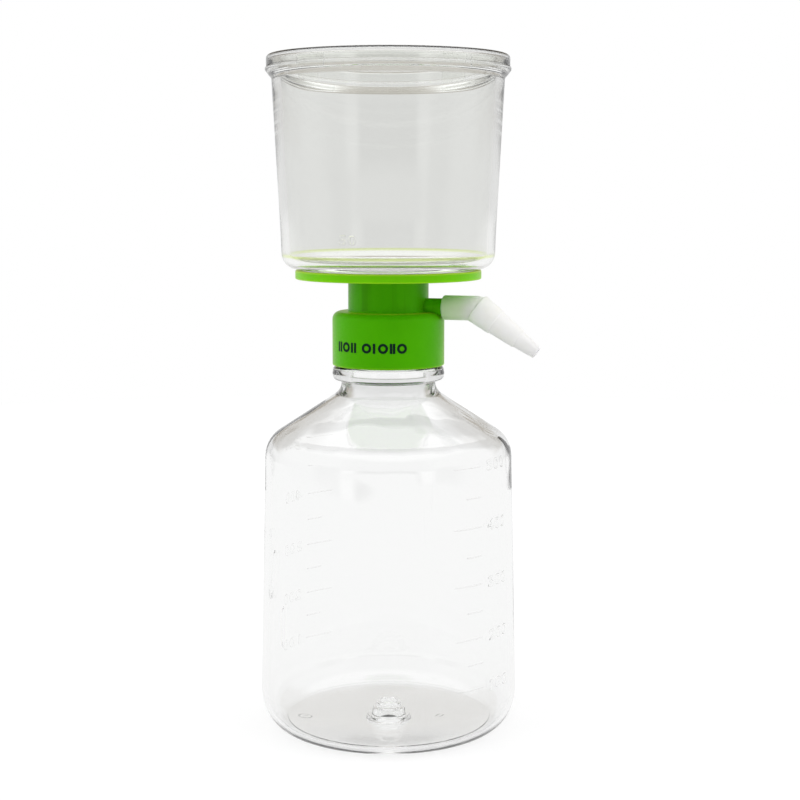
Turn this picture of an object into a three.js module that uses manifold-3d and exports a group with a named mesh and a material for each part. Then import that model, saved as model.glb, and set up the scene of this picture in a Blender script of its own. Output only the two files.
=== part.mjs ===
// Vacuum filtration unit: a receiver bottle with a screw-on filter collar and funnel.
// Millimetres, +Z up. The origin is the middle of the bottle's base, on the bottle's axis.
// The side arm points along +X.
import * as THREE from 'three';
import { mergeVertices } from 'three/addons/utils/BufferGeometryUtils.js';
import Module from 'manifold-3d';

const wasm = await Module();
wasm.setup();

// ---- driving dimensions ----------------------------------------------------------------
const GAP = 0.3;                    // clearance kept between touching pieces
const EDGE = 0.3;                   // edge break on small moulded edges
const OVERRUN = 1;                  // how far a cutting tool runs past the face it opens
const TURN_STEPS = 48;              // facets round the large turned pieces
const SMALL_STEPS = 24;             // facets round tubes and bores

const bottle = {
  baseRadius: 44.6, topRadius: 42.7, wall: 1.8,
  footRadius: 35.4, heelHeight: 13.2, floor: 2.2, floorRadius: 36.0, floorMiddle: 1.0,
  boss: [{ radius: 7.7, top: 2.4 }, { radius: 5.8, top: 5.0 }, { radius: 4.4, top: 6.9 }],
  bossDraft: 0.25, bossHollow: 3.1, bossDimple: 1.4,
  bodyTop: 94.8, shoulderRadius: 10, shoulderTilt: 57,
  neckRadius: 16.2, neckFillet: 5.5, boreRadius: 13.2,
  beadLow: 120.7, beadMiddle: 123.3, beadHigh: 125.6, beadRadius: 19.4, beadRound: 2.1,
  finishRadius: 15.9, lip: 140.9, lipEdge: 0.6,
};

const collar = {
  skirtLow: 126.1, skirtTop: 144.7, skirtRadius: 19.3, skirtBore: 17.6, skirtEdge: 0.6,
  cornerRadius: 3,
  deck: 2.2, neckRadius: 13.85, neckBore: 12.2,
  plateLow: 155.8, plateHigh: 158.9, plateRadius: 31.95, plateEdge: 0.5,
  seatRadius: 30.25, seatDepth: 0.9,
  ribs: 12, ribDepth: 0.5, ribWidth: 1.2, ribInner: 5, ribOuter: 28.3,
  stemRadius: 4.4, stemBore: 2.8, stemLow: 136.5, stemEdge: 0.5,
  armHeight: 146.3, armRadius: 3.1, armBore: 1.7, armEnd: 29.4,
};

const membrane = { radius: 29.85, thickness: 0.5 };

const funnel = {
  footInner: 28.1, footRadius: 36.6, footCorner: 5.5, wall: 2.6,
  shoulderHeight: 223.6, shoulderRadius: 39.6,
  ledgeHeight: 226.3, ledgeRadius: 41.75, ledgeEdge: 1.0, bore: 36.95,
  rimRadius: 39.85, rimBore: 38.65, rimTop: 229.8,
};

const lid = { radius: 41.35, bore: 40.15, top: 231.5, plate: 1.4, corner: 1.2 };

const washer = { inner: 13.7, outer: 17.2, thickness: 0.9 };

const adapter = {
  start: 19.8, radius: 4.2, bore: 3.4, boreEnd: 30.2, elbow: 31.7, endRound: 0.7,
  droop: 35, nozzleBore: 1.3, passageEnd: 0.5,
  steps: [
    { length: 8.0, wide: 5.2, narrow: 4.6 },
    { length: 9.6, wide: 4.3, narrow: 3.4 },
    { length: 7.7, wide: 3.15, narrow: 2.15 },
  ],
};

const colours = { clear: 0xe9edea, green: 0x46b412, white: 0xf4f4f0, soft: 0xf1f0ec };

// ---- helpers ---------------------------------------------------------------------------
const rad = THREE.MathUtils.degToRad;

// Points of an arc in the (radius, height) plane, both ends included.
function arc(centreR, centreZ, radiusR, radiusZ, fromDeg, toDeg, steps) {
  return Array.from({ length: steps + 1 }, (_, i) => {
    const a = rad(fromDeg + (toDeg - fromDeg) * i / steps);
    return [centreR + radiusR * Math.cos(a), centreZ + radiusZ * Math.sin(a)];
  });
}

// A solid turned about the Z axis from (radius, height) points that run round its section
// anticlockwise, seen with the axis on the left.
function turned(points, steps = TURN_STEPS) {
  const onAxis = points[0][0] === 0;
  const section = points.map(([r, z]) => new THREE.Vector2(r, z));
  if (!onAxis) section.push(section[0].clone());
  return new THREE.LatheGeometry(section, steps).rotateX(Math.PI / 2);
}

function ring(inner, outer, low, high, steps = TURN_STEPS) {
  return turned([[inner, low], [outer, low], [outer, high], [inner, high]], steps);
}

function disc(radius, low, high, steps = TURN_STEPS) {
  return turned([[0, low], [radius, low], [radius, high], [0, high]], steps);
}

function solid(geometry) {
  const bare = geometry.clone();
  bare.deleteAttribute('normal');
  bare.deleteAttribute('uv');
  const merged = mergeVertices(bare, 1e-4);
  return new wasm.Manifold(new wasm.Mesh({
    numProp: 3,
    vertProperties: new Float32Array(merged.attributes.position.array),
    triVerts: new Uint32Array(merged.index.array),
  }));
}

function geometryOf(manifold) {
  const mesh = manifold.getMesh();
  const geometry = new THREE.BufferGeometry();
  geometry.setAttribute('position', new THREE.BufferAttribute(mesh.vertProperties, 3));
  geometry.setIndex(new THREE.BufferAttribute(mesh.triVerts, 1));
  geometry.computeVertexNormals();
  return geometry;
}

function part(name, geometry, colour, roughness, opacity = 1) {
  const material = new THREE.MeshStandardMaterial({
    color: colour, roughness, metalness: 0, opacity, transparent: opacity < 1,
  });
  const mesh = new THREE.Mesh(geometry, material);
  mesh.name = name;
  return mesh;
}

// ---- receiver bottle -------------------------------------------------------------------
// Height of the shoulder cone at a radius, for the outer skin or one set in by depth.
function shoulderCone(radius, depth = 0) {
  const b = bottle;
  const centreR = b.topRadius - b.shoulderRadius;
  const normalR = Math.cos(rad(b.shoulderTilt));
  const normalZ = Math.sin(rad(b.shoulderTilt));
  const footR = centreR + (b.shoulderRadius - depth) * normalR;
  const footZ = b.bodyTop + (b.shoulderRadius - depth) * normalZ;
  return footZ + (footR - radius) * normalR / normalZ;
}

// The hollow curve from the shoulder cone up into a straight neck of the given radius.
function neckCurve(radius, curve, depth, fromDeg, toDeg) {
  const centreR = radius + curve;
  const touchR = centreR - curve * Math.cos(rad(bottle.shoulderTilt));
  const centreZ = shoulderCone(touchR, depth) + curve * Math.sin(rad(bottle.shoulderTilt));
  return arc(centreR, centreZ, curve, curve, fromDeg, toDeg, 4);
}

function receiverBottle() {
  const b = bottle;
  const coneDeg = 180 + b.shoulderTilt;
  const boss = [];
  let height = b.floorMiddle;
  for (const tier of b.boss) {
    boss.push([tier.radius, height], [tier.radius - b.bossDraft, tier.top]);
    height = tier.top;
  }
  const outside = [
    [0, 0],
    ...arc(b.footRadius, b.heelHeight, b.baseRadius - b.footRadius, b.heelHeight, -90, 0, 7),
    ...arc(b.topRadius - b.shoulderRadius, b.bodyTop, b.shoulderRadius, b.shoulderRadius,
      0, b.shoulderTilt, 6),
    ...neckCurve(b.neckRadius, b.neckFillet, 0, coneDeg, 180),
    [b.neckRadius, b.beadLow],
    ...arc(b.beadRadius - b.beadRound, b.beadMiddle, b.beadRound, b.beadRound, -50, 60, 4),
    [b.finishRadius, b.beadHigh], [b.finishRadius, b.lip - b.lipEdge],
    [b.finishRadius - b.lipEdge, b.lip], [b.boreRadius + EDGE, b.lip],
  ];
  const innerBase = b.baseRadius - b.wall;
  const heelIn = b.heelHeight - b.floor;
  const inside = [
    [b.boreRadius, b.lip - EDGE],
    ...neckCurve(b.boreRadius, b.neckFillet + b.wall, b.wall, 180, coneDeg),
    ...arc(b.topRadius - b.shoulderRadius, b.bodyTop,
      b.shoulderRadius - b.wall, b.shoulderRadius - b.wall, b.shoulderTilt, 0, 5),
    ...arc(b.floorRadius, b.heelHeight, innerBase - b.floorRadius, heelIn, 0, -90, 6),
    ...boss, [b.bossHollow, height],
    [b.bossHollow - EDGE, height - b.bossDimple], [0, height - b.bossDimple],
  ];
  return part('receiver_bottle', turned([...outside, ...inside]), colours.clear, 0.05, 0.3);
}

// ---- filter collar ---------------------------------------------------------------------
function filterCollar() {
  const c = collar;
  const deckLow = c.skirtTop - c.deck;
  const seat = c.plateHigh - c.seatDepth;
  const body = solid(turned([
    [c.skirtBore, c.skirtLow], [c.skirtRadius - c.skirtEdge, c.skirtLow],
    [c.skirtRadius, c.skirtLow + c.skirtEdge],
    ...arc(c.skirtRadius - c.cornerRadius, c.skirtTop - c.cornerRadius,
      c.cornerRadius, c.cornerRadius, 0, 90, 4),
    [c.neckRadius, c.skirtTop], [c.neckRadius, c.plateLow],
    [c.plateRadius - c.plateEdge, c.plateLow], [c.plateRadius, c.plateLow + c.plateEdge],
    [c.plateRadius, c.plateHigh - c.plateEdge], [c.plateRadius - c.plateEdge, c.plateHigh],
    [c.seatRadius, c.plateHigh], [c.seatRadius, seat - c.ribDepth],
    [c.stemBore, seat - c.ribDepth], [c.stemBore, c.stemLow],
    [c.stemRadius - c.stemEdge, c.stemLow], [c.stemRadius, c.plateLow],
    [c.neckBore, c.plateLow], [c.neckBore, deckLow], [c.skirtBore, deckLow],
  ]));
  const armRoot = (c.neckBore + c.neckRadius) / 2;
  const alongArm = (radius, from, to) => solid(disc(radius, from, to, SMALL_STEPS)
    .rotateY(Math.PI / 2).translate(0, 0, c.armHeight));
  const arm = alongArm(c.armRadius, armRoot, c.armEnd);
  const armBore = alongArm(c.armBore, c.neckBore - OVERRUN, c.armEnd + OVERRUN);
  let whole = body.add(arm).subtract(armBore);
  const ribLength = c.ribOuter - c.ribInner;
  for (let i = 0; i < c.ribs; i += 1) {
    const rib = new THREE.BoxGeometry(ribLength, c.ribWidth, 2 * c.ribDepth)
      .translate(c.ribInner + ribLength / 2, 0, seat - c.ribDepth)
      .rotateZ(2 * Math.PI * (i + 0.5) / c.ribs);
    whole = whole.add(solid(rib));
  }
  return part('filter_collar', geometryOf(whole), colours.green, 0.35);
}

// ---- pieces that lie in or on the collar -----------------------------------------------
function filterMembrane() {
  const low = collar.plateHigh - collar.seatDepth + GAP;
  const geometry = disc(membrane.radius, low, low + membrane.thickness);
  return part('filter_membrane', geometry, colours.white, 0.9);
}

function sealWasher() {
  const low = bottle.lip + GAP;
  const geometry = ring(washer.inner, washer.outer, low, low + washer.thickness);
  return part('seal_washer', geometry, colours.soft, 0.8);
}

// ---- funnel ----------------------------------------------------------------------------
function funnelCup() {
  const f = funnel;
  const foot = collar.plateHigh + GAP;
  const cornerR = f.footRadius - f.footCorner;
  const cornerZ = foot + f.footCorner;
  const geometry = turned([
    [f.footInner, foot],
    ...arc(cornerR, cornerZ, f.footCorner, f.footCorner, -90, 0, 6),
    [f.shoulderRadius, f.shoulderHeight], [f.ledgeRadius, f.ledgeHeight],
    [f.ledgeRadius, f.ledgeHeight + f.ledgeEdge], [f.rimRadius, f.ledgeHeight + f.ledgeEdge],
    [f.rimRadius, f.rimTop - EDGE], [f.rimRadius - EDGE, f.rimTop],
    [f.rimBore + EDGE, f.rimTop], [f.rimBore, f.rimTop - EDGE],
    [f.rimBore, f.ledgeHeight], [f.bore, f.ledgeHeight],
    ...arc(cornerR, cornerZ, f.footCorner - f.wall, f.footCorner - f.wall, 0, -90, 4),
    [f.footInner, foot + f.wall],
  ]);
  return part('funnel', geometry, colours.clear, 0.05, 0.3);
}

// ---- lid -------------------------------------------------------------------------------
function lidCover() {
  const skirtLow = funnel.ledgeHeight + funnel.ledgeEdge + GAP;
  const under = lid.top - lid.plate;
  const geometry = turned([
    [0, under], [lid.bore, under], [lid.bore, skirtLow], [lid.radius, skirtLow],
    ...arc(lid.radius - lid.corner, lid.top - lid.corner, lid.corner, lid.corner, 0, 90, 3),
    [0, lid.top],
  ]);
  return part('lid', geometry, colours.clear, 0.05, 0.3);
}

// ---- hose adapter ----------------------------------------------------------------------
function hoseAdapter() {
  const a = adapter;
  const sleeve = solid(turned([
    [0, a.start], [a.radius - a.endRound, a.start],
    ...arc(a.radius - a.endRound, a.start + a.endRound, a.endRound, a.endRound, -45, 0, 1),
    [a.radius, a.elbow], [0, a.elbow],
  ], SMALL_STEPS).rotateY(Math.PI / 2));
  const knuckle = solid(new THREE.SphereGeometry(a.radius, SMALL_STEPS, SMALL_STEPS / 2)
    .translate(a.elbow, 0, 0));
  let reach = 0;
  const section = [[0, 0]];
  for (const step of a.steps) {
    section.push([step.wide, reach]);
    reach += step.length;
    section.push([step.narrow, reach]);
  }
  section.push([0, reach]);
  const droop = (geometry) => geometry.rotateY(Math.PI / 2 + rad(a.droop)).translate(a.elbow, 0, 0);
  const nozzle = solid(droop(turned(section, SMALL_STEPS)));
  const alongSleeve = (radius, from, to) => solid(disc(radius, from, to, SMALL_STEPS)
    .rotateY(Math.PI / 2));
  const socket = alongSleeve(a.bore, a.start - OVERRUN, a.boreEnd);
  const passage = alongSleeve(a.nozzleBore, a.boreEnd - OVERRUN, a.elbow + a.passageEnd);
  const outlet = solid(droop(disc(a.nozzleBore, 0, reach + OVERRUN, SMALL_STEPS)));
  const whole = sleeve.add(knuckle).add(nozzle).subtract(socket).subtract(passage).subtract(outlet);
  const mesh = part('hose_adapter', geometryOf(whole), colours.white, 0.5);
  mesh.position.z = collar.armHeight;
  return mesh;
}

// ---- assembly --------------------------------------------------------------------------
const upper = new THREE.Group();
upper.add(filterCollar(), filterMembrane(), funnelCup(), lidCover(), hoseAdapter());

const group = new THREE.Group();
group.add(receiverBottle(), sealWasher(), upper);

export default group;
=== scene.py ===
import math

import bmesh
import bpy
from mathutils import Matrix, Vector


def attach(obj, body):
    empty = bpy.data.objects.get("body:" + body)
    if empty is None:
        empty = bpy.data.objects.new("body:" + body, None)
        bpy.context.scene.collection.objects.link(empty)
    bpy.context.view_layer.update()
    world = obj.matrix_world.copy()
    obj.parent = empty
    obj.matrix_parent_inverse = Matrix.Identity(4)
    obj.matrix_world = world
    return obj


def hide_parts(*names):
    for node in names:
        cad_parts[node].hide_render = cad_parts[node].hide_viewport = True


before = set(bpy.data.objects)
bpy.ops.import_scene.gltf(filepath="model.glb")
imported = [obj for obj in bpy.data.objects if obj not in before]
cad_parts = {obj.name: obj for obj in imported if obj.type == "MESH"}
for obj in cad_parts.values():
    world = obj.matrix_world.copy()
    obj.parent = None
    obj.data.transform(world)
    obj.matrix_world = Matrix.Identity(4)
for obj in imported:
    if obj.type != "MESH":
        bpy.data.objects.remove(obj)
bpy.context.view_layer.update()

# Vacuum filtration unit: graduated receiver bottle, seal washer, green filter collar with
# its membrane, funnel, lid and hose adapter. Shapes are given in millimetres in the CAD
# frame and turned into metres when a mesh is made.
MM = 0.001
TURN_STEPS = 256          # facets round a large turned piece
TUBE_STEPS = 96           # facets round a tube
BORE_STEPS = 64           # facets round a bore
SMALL_STEPS = 40          # facets round a small ring
ARC_STEP = 7.5            # degrees between points of an arc
ROUNDING_STEP = 15        # degrees between points of a rounded corner
SHARP_ANGLE = 40          # edges steeper than this stay crisp, in degrees
MARK_SHARP_ANGLE = 60     # the same on small raised marks

THREAD_PITCH = 4.0
THREAD_RUN_OUT = 0.12     # turns over which a thread fades at each end
THREAD_FLANK = 0.45       # share of a thread's half width that its flank takes

# ---- driving dimensions, as in the CAD ---------------------------------------------------
BOTTLE = dict(
    base_radius=44.6, top_radius=42.7, wall=1.8, foot_radius=35.4, heel_height=13.2,
    floor=2.2, floor_radius=36.0, floor_middle=1.0, floor_lift=0.4,
    boss=[(7.7, 2.4), (5.8, 5.0), (4.4, 6.9)], boss_draft=0.25, boss_hollow=3.1, boss_dimple=1.4,
    pocket_radius=4.0, pocket_depth=4.1,      # the boss is hollow from below
    body_top=94.8, shoulder_radius=10.0, shoulder_tilt=57.0,
    neck_radius=16.2, neck_fillet=5.5, bore_radius=13.2,
    bead_low=120.7, bead_middle=123.3, bead_high=125.6, bead_radius=19.4,
    finish_radius=15.9, lip=140.9,
    thread_low=128.7, thread_turns=2.2, thread_height=1.1, thread_width=1.15,
    thread_rows=44, row_step=0.3,             # rows of points that the thread is raised from
)
COLLAR = dict(
    skirt_low=126.1, skirt_top=144.7, skirt_radius=19.3, skirt_bore=17.6, skirt_edge=0.6,
    corner_radius=3.0, deck=2.2, neck_radius=13.85, neck_bore=12.2, neck_fillet=0.7,
    plate_low=155.8, plate_high=158.9, plate_radius=31.95, plate_edge=0.5,
    seat_radius=30.25, seat_depth=0.9, ribs=12, rib_depth=0.5, rib_width=1.2,
    rib_inner=5.0, rib_outer=28.3, stem_radius=4.4, stem_bore=2.8, stem_low=136.5, stem_edge=0.5,
    arm_height=146.3, arm_radius=3.1, arm_bore=1.7, arm_end=29.4,
    thread_low=130.9, thread_turns=1.4, thread_height=1.0, thread_width=1.0,
    thread_rows=40, row_step=0.37,
)
FUNNEL = dict(
    foot_inner=28.1, foot_radius=36.6, foot_corner=5.5, wall=2.6,
    shoulder_height=223.6, shoulder_radius=39.6,
    ledge_height=226.3, ledge_radius=41.75, ledge_edge=1.0, bore=36.95,
    rim_radius=39.85, rim_bore=38.65, rim_top=229.8,
)
LID = dict(radius=41.35, bore=40.15, top=231.5, plate=1.4, corner=1.2)
WASHER = dict(inner=13.7, outer=17.2, thickness=0.9, edge=0.25)
MEMBRANE = dict(radius=29.85, thickness=0.5, pressed=0.18)     # pressed in by the funnel's foot
ADAPTER = dict(
    start=19.8, radius=4.2, bore=3.4, bore_end=30.2, elbow=31.7, end_round=0.7,
    droop=35.0, nozzle_bore=1.3, passage_end=0.5,
    steps=[(8.0, 5.2, 4.6), (9.6, 4.3, 3.4), (7.7, 3.15, 2.15)],   # length, wide, narrow
)

# ---- details that only the scene has -----------------------------------------------------
# Moulded scale: nine marks from 100 to 500 mL, twice round the bottle. The steps grow a
# little towards the top, where the body is narrower.
SCALE = dict(
    marks=9, first=21.1, step=8.3, growth=0.125, columns=(0, 180),
    first_volume=100, volume_step=50,
    figure_angle=-14.5, figure_height=3.7, figure_width=11.5, tick_angle=-26.0,
    long_tick=12.0, short_tick=7.0, stroke=0.4, relief=0.13,
)
# Small marks on the bottle's floor: where each lies, and its relief.
FLOOR_MARKS = dict(
    ring_place=(29.6, -154), ring_radius=2.3, ring_stroke=0.3, ring_line=2.6, line_spin=30,
    bars_place=(18.0, 18), bar_length=3.2, bar_offset=0.9, bar_spin=60, stroke=0.5, relief=0.17,
)
# Upright flow marks low on the bottle's left side: angle round, middle, length and lean.
FLOW_MARKS = dict(
    width=1.0, relief=0.8,
    lines=[
        dict(angle=-124.7, middle=40.5, length=14.0, lean=0.0),
        dict(angle=-138.0, middle=60.0, length=24.0, lean=1.0),
        dict(angle=-134.5, middle=57.0, length=17.0, lean=-7.0),
    ],
)
FUNNEL_FIGURE = dict(text="50", angle=-92.5, middle=170.0, width=6.0, height=3.4, relief=0.15)
# Four pads inside the funnel's rim, and the printed row on the collar: angles round from the
# middle of the row at which its rings and bars stand.
RIM_PADS = dict(angles=(-111, -21, 69, 159), span=16, low=226.6, high=229.6, thickness=0.43)
PRINT = dict(angle=-72, middle=133.4, height=3.4, stroke=0.85, thickness=0.04,
             rings=(-47, -22, -5, 14), bars=(-59, -55, -39, -35, -14, 3, 6))

LIFT = 0.02               # gap that keeps raised marks clear of the wall they sit on
GAP = 0.3                 # clearance that the CAD keeps between touching pieces
EDGE = 0.3                # edge break on small moulded edges

# ---- camera, floor and light -------------------------------------------------------------
CAMERA_AZIMUTH = 18.0     # degrees that the camera stands round from the front, to the arm
CAMERA_DISTANCE = 553.2
CAMERA_HEIGHT = 186.0
CAMERA_SIDE_STEP = 4.0
CAMERA_PITCH = 6.02       # degrees down
CAMERA_LENS = 72.39
CAMERA_SHIFT = -0.05

FLOOR_RADIUS = 900
FLOOR_GAP = 0.25            # the floor lies this far below the foot
FLOOR_BOUNCE = 0.8          # share of the light that the floor scatters on to the object
FLOOR_MATT = 0.25           # the same as the camera sees it, so that shadows show
FLOOR_SEEN = 0.78           # glow that brings the unshaded floor to white for the camera
FLOOR_MATT_IN_GLASS = 0.10  # the same pair, as glass and gloss see the floor
FLOOR_SEEN_IN_GLASS = 0.835
TABLE_IN_GLASS = 0.92       # what lies below the floor's far edge, as glass and gloss see it
CEILING_IN_GLASS = 1.4      # a bright ceiling, as glass and gloss see it
LIGHT_INSIDE = 1.6          # light that reaches a matt surface through clear plastic
SUN_SPREAD = 50             # degrees across
SUN_STRENGTH = 0.8
SUN_SIDE = 75               # degrees that each sun stands round from the camera
SUN_HEIGHT = 30             # degrees up

MOULD_WAVES_BOTTLE = 0.00004    # bump depths in metres
MOULD_WAVES_FUNNEL = 0.00003
FLOW_DEPTH = 0.0018             # unevenness of the blown shoulder


# ---- mesh helpers -----------------------------------------------------------------------
def arc(centre_r, centre_z, radius_r, radius_z, start, end, steps=None):
    """Points of an arc in the (radius, height) plane from one angle in degrees to another."""
    steps = steps or max(2, round(abs(end - start) / ARC_STEP))
    angles = [math.radians(start + (end - start) * i / steps) for i in range(steps + 1)]
    return [(centre_r + radius_r * math.cos(a), centre_z + radius_z * math.sin(a)) for a in angles]


def rounded(corners):
    """An outline from (radius, height, rounding) corners, each rounded by a true arc.
    The first and last corners stay as they are."""
    points = [corners[0][:2]]
    for before, corner, after in zip(corners, corners[1:], corners[2:]):
        here = Vector(corner[:2])
        back = Vector(before[:2]) - here
        ahead = Vector(after[:2]) - here
        turn = back.angle(ahead)
        if corner[2] <= 0 or math.pi - turn < 0.02:
            points.append(tuple(here))
            continue
        reach = min(corner[2] / math.tan(turn / 2), 0.49 * back.length, 0.49 * ahead.length)
        radius = reach * math.tan(turn / 2)
        inward = (back.normalized() + ahead.normalized()).normalized()
        centre = here + inward * radius / math.sin(turn / 2)
        first = here + back.normalized() * reach - centre
        swept = first.angle_signed(here + ahead.normalized() * reach - centre)
        steps = max(2, round(math.degrees(abs(swept)) / ROUNDING_STEP))
        for i in range(steps + 1):
            spun = Matrix.Rotation(-swept * i / steps, 2) @ first
            points.append(tuple(centre + spun))
    points.append(corners[-1][:2])
    return points


def mesh_object(name, vertices, faces):
    """A new object in the scene, from points in millimetres."""
    mesh = bpy.data.meshes.new(name)
    mesh.from_pydata([Vector(v) * MM for v in vertices], [], faces)
    piece = bpy.data.objects.new(name, mesh)
    bpy.context.scene.collection.objects.link(piece)
    return piece


def smooth(piece, angle=SHARP_ANGLE):
    """Outward normals, smooth shading, and crisp edges where the surface turns sharply."""
    work = bmesh.new()
    work.from_mesh(piece.data)
    bmesh.ops.remove_doubles(work, verts=work.verts, dist=1e-7)
    bmesh.ops.recalc_face_normals(work, faces=work.faces)
    work.to_mesh(piece.data)
    work.free()
    piece.data.shade_smooth()
    piece.data.set_sharp_from_angle(angle=math.radians(angle))
    return piece


def lathe(name, section, steps=TURN_STEPS, shape=None):
    """A solid turned about Z from (radius, height) points. A section that doesn't start on
    the axis is a closed loop. shape(radius, height, angle) may move each point."""
    on_axis = section[0][0] == 0
    vertices, rows = [], []
    for i in range(steps):
        angle = 2 * math.pi * i / steps
        row = []
        for k, (radius, height) in enumerate(section):
            if radius == 0 and i > 0:
                row.append(rows[0][k])
                continue
            if shape:
                radius, height = shape(radius, height, angle)
            row.append(len(vertices))
            vertices.append((radius * math.cos(angle), radius * math.sin(angle), height))
        rows.append(row)
    faces = []
    spans = len(section) - 1 if on_axis else len(section)
    for i in range(steps):
        here, there = rows[i], rows[(i + 1) % steps]
        for k in range(spans):
            n = (k + 1) % len(section)
            corners = [here[k], there[k], there[n], here[n]]
            faces.append([c for j, c in enumerate(corners) if c not in corners[:j]])
    return mesh_object(name, vertices, faces)


def box(name, low, high):
    """A box from its two opposite corners."""
    (x0, y0, z0), (x1, y1, z1) = low, high
    vertices = [(x, y, z) for z in (z0, z1) for y in (y0, y1) for x in (x0, x1)]
    faces = [(0, 2, 3, 1), (4, 5, 7, 6), (0, 1, 5, 4), (2, 6, 7, 3), (0, 4, 6, 2), (1, 3, 7, 5)]
    return mesh_object(name, vertices, faces)


def moved(piece, *steps):
    """Moves a piece's mesh, the first matrix given applied last; lengths are in millimetres."""
    for step in reversed(steps):
        piece.data.transform(step)
    return piece


def shift(x, y, z):
    return Matrix.Translation(Vector((x, y, z)) * MM)


def turn(degrees, axis):
    return Matrix.Rotation(math.radians(degrees), 4, axis)


def joined(name, pieces):
    """One object from several, each staying an island of its own."""
    whole = bmesh.new()
    for piece in pieces:
        whole.from_mesh(piece.data)
        bpy.data.objects.remove(piece)
    mesh = bpy.data.meshes.new(name)
    whole.to_mesh(mesh)
    whole.free()
    result = bpy.data.objects.new(name, mesh)
    bpy.context.scene.collection.objects.link(result)
    return result


def strip(name, length, outline, slices=12):
    """A bar along X with a closed (across, out) outline, sliced so that it can bend."""
    count = len(outline)
    vertices = [(length * (i / slices - 0.5), y, z) for i in range(slices + 1) for y, z in outline]
    faces = [tuple(reversed(range(count))), tuple(range(slices * count, (slices + 1) * count))]
    for i in range(slices):
        for k in range(count):
            n = (k + 1) % count
            faces.append((i * count + k, i * count + n, (i + 1) * count + n, (i + 1) * count + k))
    return mesh_object(name, vertices, faces)


def ridge(name, length, width, height):
    """A half-round raised line along X with tapered ends."""
    piece = strip(name, length, arc(0, 0, width / 2, height, 0, 180, 6))
    for vertex in piece.data.vertices:
        end = min(1.0, (length * MM / 2 - abs(vertex.co.x)) / (width * MM) + 0.35)
        vertex.co.y *= end
        vertex.co.z *= end
    return piece


def figures(name, text, width, height, relief):
    """Raised figures with sloping sides, centred on the origin and facing +Z."""
    curve = bpy.data.curves.new(name, "FONT")
    curve.body = text
    curve.size = 1.0
    curve.space_character = 1.15
    curve.extrude = 0.01
    curve.bevel_depth = 0.03
    curve.bevel_resolution = 1
    letters = bpy.data.objects.new(name, curve)
    bpy.context.scene.collection.objects.link(letters)
    evaluated = letters.evaluated_get(bpy.context.evaluated_depsgraph_get())
    mesh = bpy.data.meshes.new_from_object(evaluated)
    bpy.data.objects.remove(letters)
    piece = bpy.data.objects.new(name, mesh)
    bpy.context.scene.collection.objects.link(piece)
    low = Vector([min(v.co[i] for v in mesh.vertices) for i in range(3)])
    high = Vector([max(v.co[i] for v in mesh.vertices) for i in range(3)])
    size = high - low
    mesh.transform(Matrix.Translation((-(low.x + high.x) / 2, -(low.y + high.y) / 2, -low.z)))
    mesh.transform(Matrix.Diagonal((width / size.x, height / size.y, relief / size.z, 1)) * MM)
    return piece


def wrapped(piece, angle, height, skin):
    """Bends a flat piece round the Z axis: X runs round from angle in degrees, Y runs up
    from height, and Z stands out from skin(height), the radius of the wall."""
    for vertex in piece.data.vertices:
        x, y, z = vertex.co / MM
        radius = skin(height + y)
        around = math.radians(angle) + x / radius
        radius += z + LIFT
        vertex.co = Vector((radius * math.cos(around), radius * math.sin(around), height + y)) * MM
    return piece


def combine(piece, other, operation):
    """Joins or cuts a piece with another, which is used up."""
    for each in (piece, other):
        work = bmesh.new()
        work.from_mesh(each.data)
        bmesh.ops.recalc_face_normals(work, faces=work.faces)
        work.to_mesh(each.data)
        work.free()
    modifier = piece.modifiers.new("combine", "BOOLEAN")
    modifier.operation = operation
    modifier.solver = "EXACT"
    modifier.object = other
    evaluated = piece.evaluated_get(bpy.context.evaluated_depsgraph_get())
    mesh = bpy.data.meshes.new_from_object(evaluated)
    piece.modifiers.clear()
    piece.data = mesh
    bpy.data.objects.remove(other)
    return piece


def helix_height(height, angle, low, turns, width):
    """How far up a thread's flank a point lies, from 0 to 1. The thread climbs
    anticlockwise from low, is twice width across, and runs out at both ends."""
    along = (height - low) / THREAD_PITCH - angle / (2 * math.pi)
    wrap = round(along)
    off = abs(along - wrap) * THREAD_PITCH
    travelled = wrap + angle / (2 * math.pi)
    ends = min(travelled, turns - travelled) / THREAD_RUN_OUT
    flank = (width - off) / (THREAD_FLANK * width)
    return max(0.0, min(1.0, flank)) * max(0.0, min(1.0, ends))


# ---- materials --------------------------------------------------------------------------
def material(name):
    """A new material: its node tree and its Principled shader."""
    made = bpy.data.materials.new(name)
    made.use_nodes = True
    tree = made.node_tree
    return made, tree, tree.nodes["Principled BSDF"]


def node(tree, kind, **values):
    """A node with its properties and input values set by name."""
    made = tree.nodes.new(kind)
    for key, value in values.items():
        if hasattr(made, key):
            setattr(made, key, value)
        else:
            made.inputs[key.replace("_", " ")].default_value = value
    return made


def noise(tree, scale, stretch=(1, 1, 1), detail=2.0, roughness=0.5):
    """Noise in object space, in features per metre, stretched along an axis if asked."""
    coordinates = node(tree, "ShaderNodeTexCoord")
    mapping = node(tree, "ShaderNodeMapping", Scale=stretch)
    made = node(tree, "ShaderNodeTexNoise", Scale=scale, Detail=detail, Roughness=roughness)
    tree.links.new(coordinates.outputs["Object"], mapping.inputs["Vector"])
    tree.links.new(mapping.outputs["Vector"], made.inputs["Vector"])
    return made


def bump(tree, shader, height, distance, under=None):
    """Raises a shader's surface by a height socket, on top of another bump if asked."""
    made = node(tree, "ShaderNodeBump", Distance=distance, Strength=1.0)
    tree.links.new(height, made.inputs["Height"])
    if under:
        tree.links.new(under.outputs["Normal"], made.inputs["Normal"])
    tree.links.new(made.outputs["Normal"], shader.inputs["Normal"])
    return made


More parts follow.
